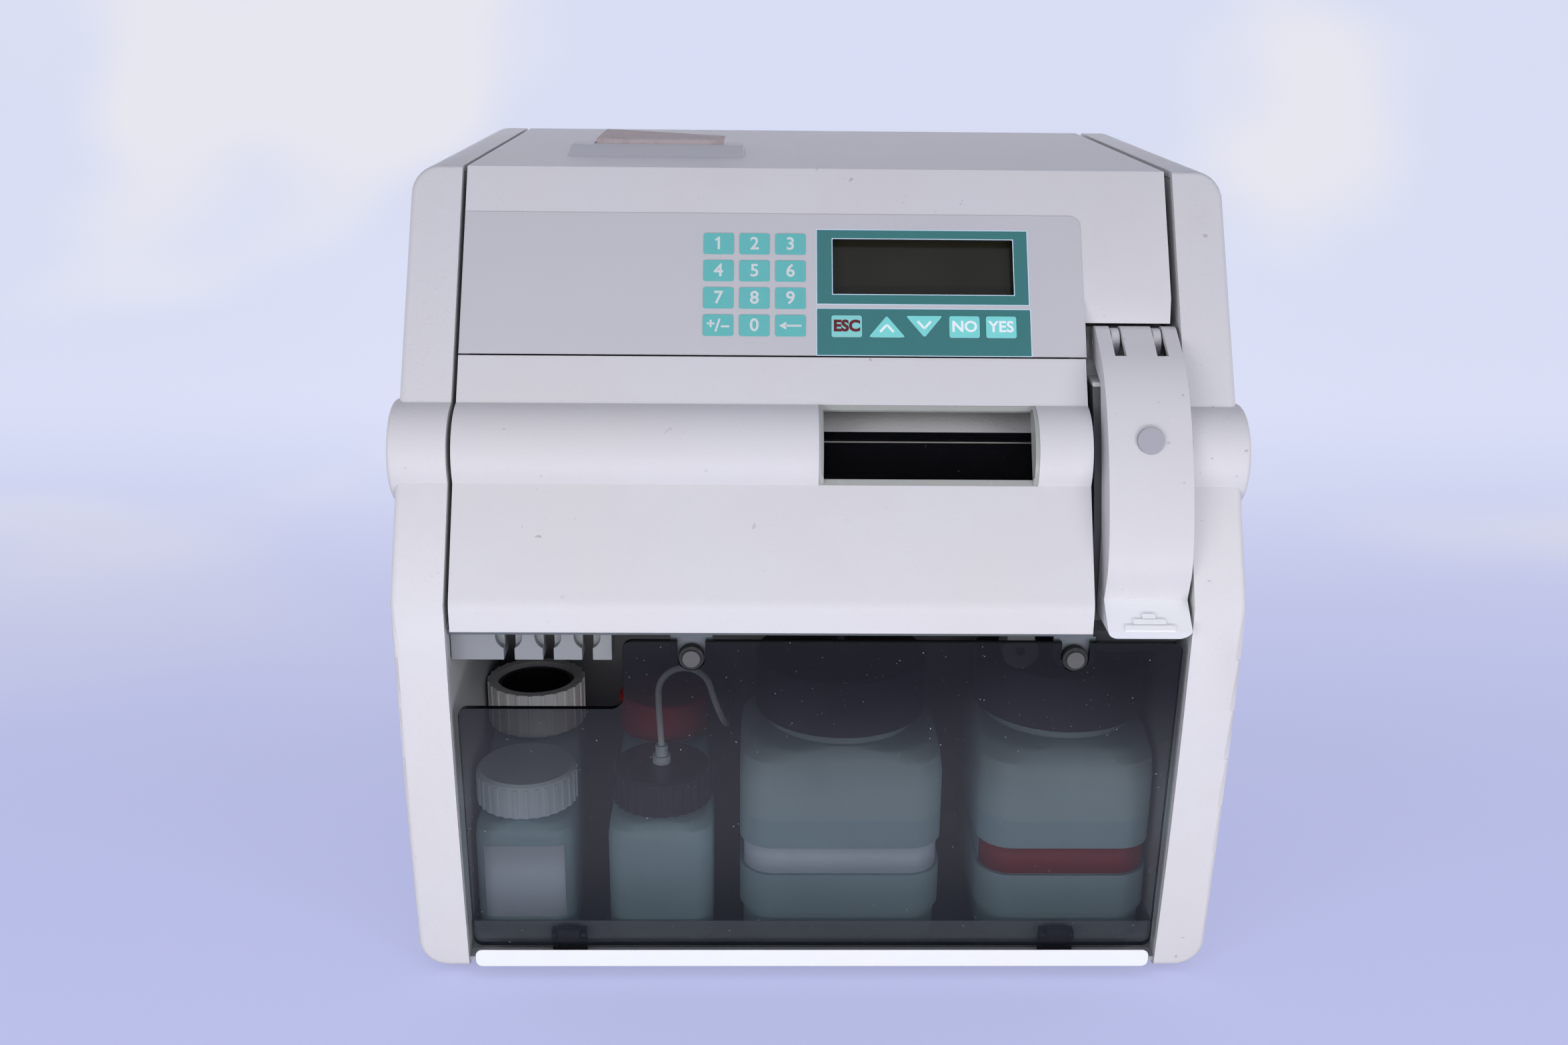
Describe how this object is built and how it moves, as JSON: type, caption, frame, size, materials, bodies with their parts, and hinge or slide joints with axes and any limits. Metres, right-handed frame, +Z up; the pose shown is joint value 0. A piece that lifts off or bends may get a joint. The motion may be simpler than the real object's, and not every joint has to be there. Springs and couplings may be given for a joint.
{
  "type": "blood gas analyzer",
  "caption": "Bench-top blood gas analyser with a sloping keypad fascia, lift-up drum cover, sample flap, smoked bottle door and top printer.",
  "frame": {"origin": "middle of the footprint, at the height of the table that the feet stand on", "axes": "+X to the right seen from the front, +Y to the rear, +Z up; the user faces +Y"},
  "size_m": [0.3656, 0.3292, 0.3611],
  "materials": {
    "black_plastic": "moulded",
    "bottle_plastic": "translucent white",
    "brass_fitting": "turned",
    "circuit_board": "glass-fibre board",
    "clear_plastic": "clear moulding",
    "display_glass": "dark liquid crystal glass",
    "display_metal": "blackened pressed frame",
    "grey_roller": "moulded",
    "keypad_film": "smooth printed film",
    "panel_plastic": "fine texture, off-white",
    "purple_cap": "dark purple moulding",
    "red_cap": "moulded",
    "rubber": "matte",
    "sheet_steel": "light grey paint",
    "silicone_tube": "translucent tube",
    "smoked_acrylic": "smoked, polished",
    "steel_machined": "machined",
    "supply_case": "folded",
    "thermal_paper": "thin paper",
    "white_cap": "moulded",
    "zinc_steel": "zinc plated"
  },
  "bodies": {
    "cabinet": {"base_lip": "panel_plastic", "bulkhead": "sheet_steel", "catch_grommets": "rubber", "catch_screws": "zinc_steel", "chamber_hood": "panel_plastic", "chamber_window": "smoked_acrylic", "chassis_tray": "sheet_steel", "cleaner_bottle": "bottle_plastic", "cleaner_cap": "purple_cap", "cleaner_tube": "silicone_tube", "cover_hinge_arms": "zinc_steel", "deck": "sheet_steel", "display_glass": "display_glass", "display_module": "display_metal", "door_hinge_brackets": "zinc_steel", "drip_tray": "clear_plastic", "electrodes": "steel_machined", "feet": "rubber", "fill_port": "steel_machined", "flap_hinge_pin": "zinc_steel", "gas_nipples": "brass_fitting", "hose_coupling": "white_cap", "keypad_overlay": "keypad_film", "left_side_panel": "panel_plastic", "main_board": "circuit_board", "measuring_chamber": "black_plastic", "paper_strip": "thermal_paper", "pinch_valves": "steel_machined", "power_inlet": "black_plastic", "power_supply": "supply_case", "printer_frame": "black_plastic", "pump_housing": "black_plastic", "pump_motor": "steel_machined", "rear_bottles": "bottle_plastic", "rear_panel": "sheet_steel", "rear_right_cap": "red_cap", "rear_ring_cap": "white_cap", "rear_ring_insert": "black_plastic", "reference_bottle": "bottle_plastic", "reference_cap": "white_cap", "right_side_panel": "panel_plastic", "sample_port_housing": "panel_plastic", "top_cover": "panel_plastic", "tube_comb": "white_cap", "wash_bottle": "bottle_plastic", "wash_cap": "purple_cap", "waste_bottle": "bottle_plastic", "waste_cap": "purple_cap"},
    "front_cover": {"front_cover": "panel_plastic", "cover_window": "clear_plastic"},
    "sample_flap": {"sample_flap": "panel_plastic", "status_lens": "clear_plastic"},
    "bottle_door": {"bottle_door": "smoked_acrylic", "door_hinge_blocks": "black_plastic"},
    "pump_rotor": {"pump_rotor": "steel_machined", "pump_rollers": "grey_roller"},
    "platen_roller": {"platen_roller": "rubber"},
    "paper_roll": {"paper_roll": "thermal_paper"},
    "printer_lid": {"printer_lid": "panel_plastic"},
    "power_rocker": {"power_rocker": "black_plastic"}
  },
  "joints": [
    {"name": "cover_hinge", "type": "hinge", "parent": "cabinet", "child": "front_cover", "pos_m": [0, -0.10658, 0.26635], "axis": [-1, 0, 0], "range_deg": [0, 75]},
    {"name": "flap_hinge", "type": "hinge", "parent": "cabinet", "child": "sample_flap", "pos_m": [0.13825, -0.0935, 0.2846], "axis": [-1, 0, 0], "range_deg": [0, 60]},
    {"name": "door_hinge", "type": "hinge", "parent": "cabinet", "child": "bottle_door", "pos_m": [0, -0.14273, 0.0168], "axis": [1, 0, 0], "range_deg": [0, 64]},
    {"name": "lid_hinge", "type": "hinge", "parent": "cabinet", "child": "printer_lid", "pos_m": [-0.075, -0.0105, 0.355], "axis": [1, 0, 0], "range_deg": [0, 100]},
    {"name": "pump_spin", "type": "hinge", "parent": "cabinet", "child": "pump_rotor", "pos_m": [-0.112, -0.0795, 0.225], "axis": [0, 1, 0], "continuous": true},
    {"name": "platen_spin", "type": "hinge", "parent": "cabinet", "child": "platen_roller", "pos_m": [-0.075, 0.02115, 0.339], "axis": [1, 0, 0], "continuous": true},
    {"name": "roll_spin", "type": "hinge", "parent": "cabinet", "child": "paper_roll", "pos_m": [-0.075, 0.0065, 0.31], "axis": [1, 0, 0], "continuous": true},
    {"name": "power_rocker_tilt", "type": "hinge", "parent": "cabinet", "child": "power_rocker", "pos_m": [0.089, 0.146, 0.043], "axis": [1, 0, 0], "range_deg": [-7, 7]}
  ],
  "couplings": [
    {"joint": "roll_spin", "follows": "platen_spin", "ratio": 0.3529}
  ]
}
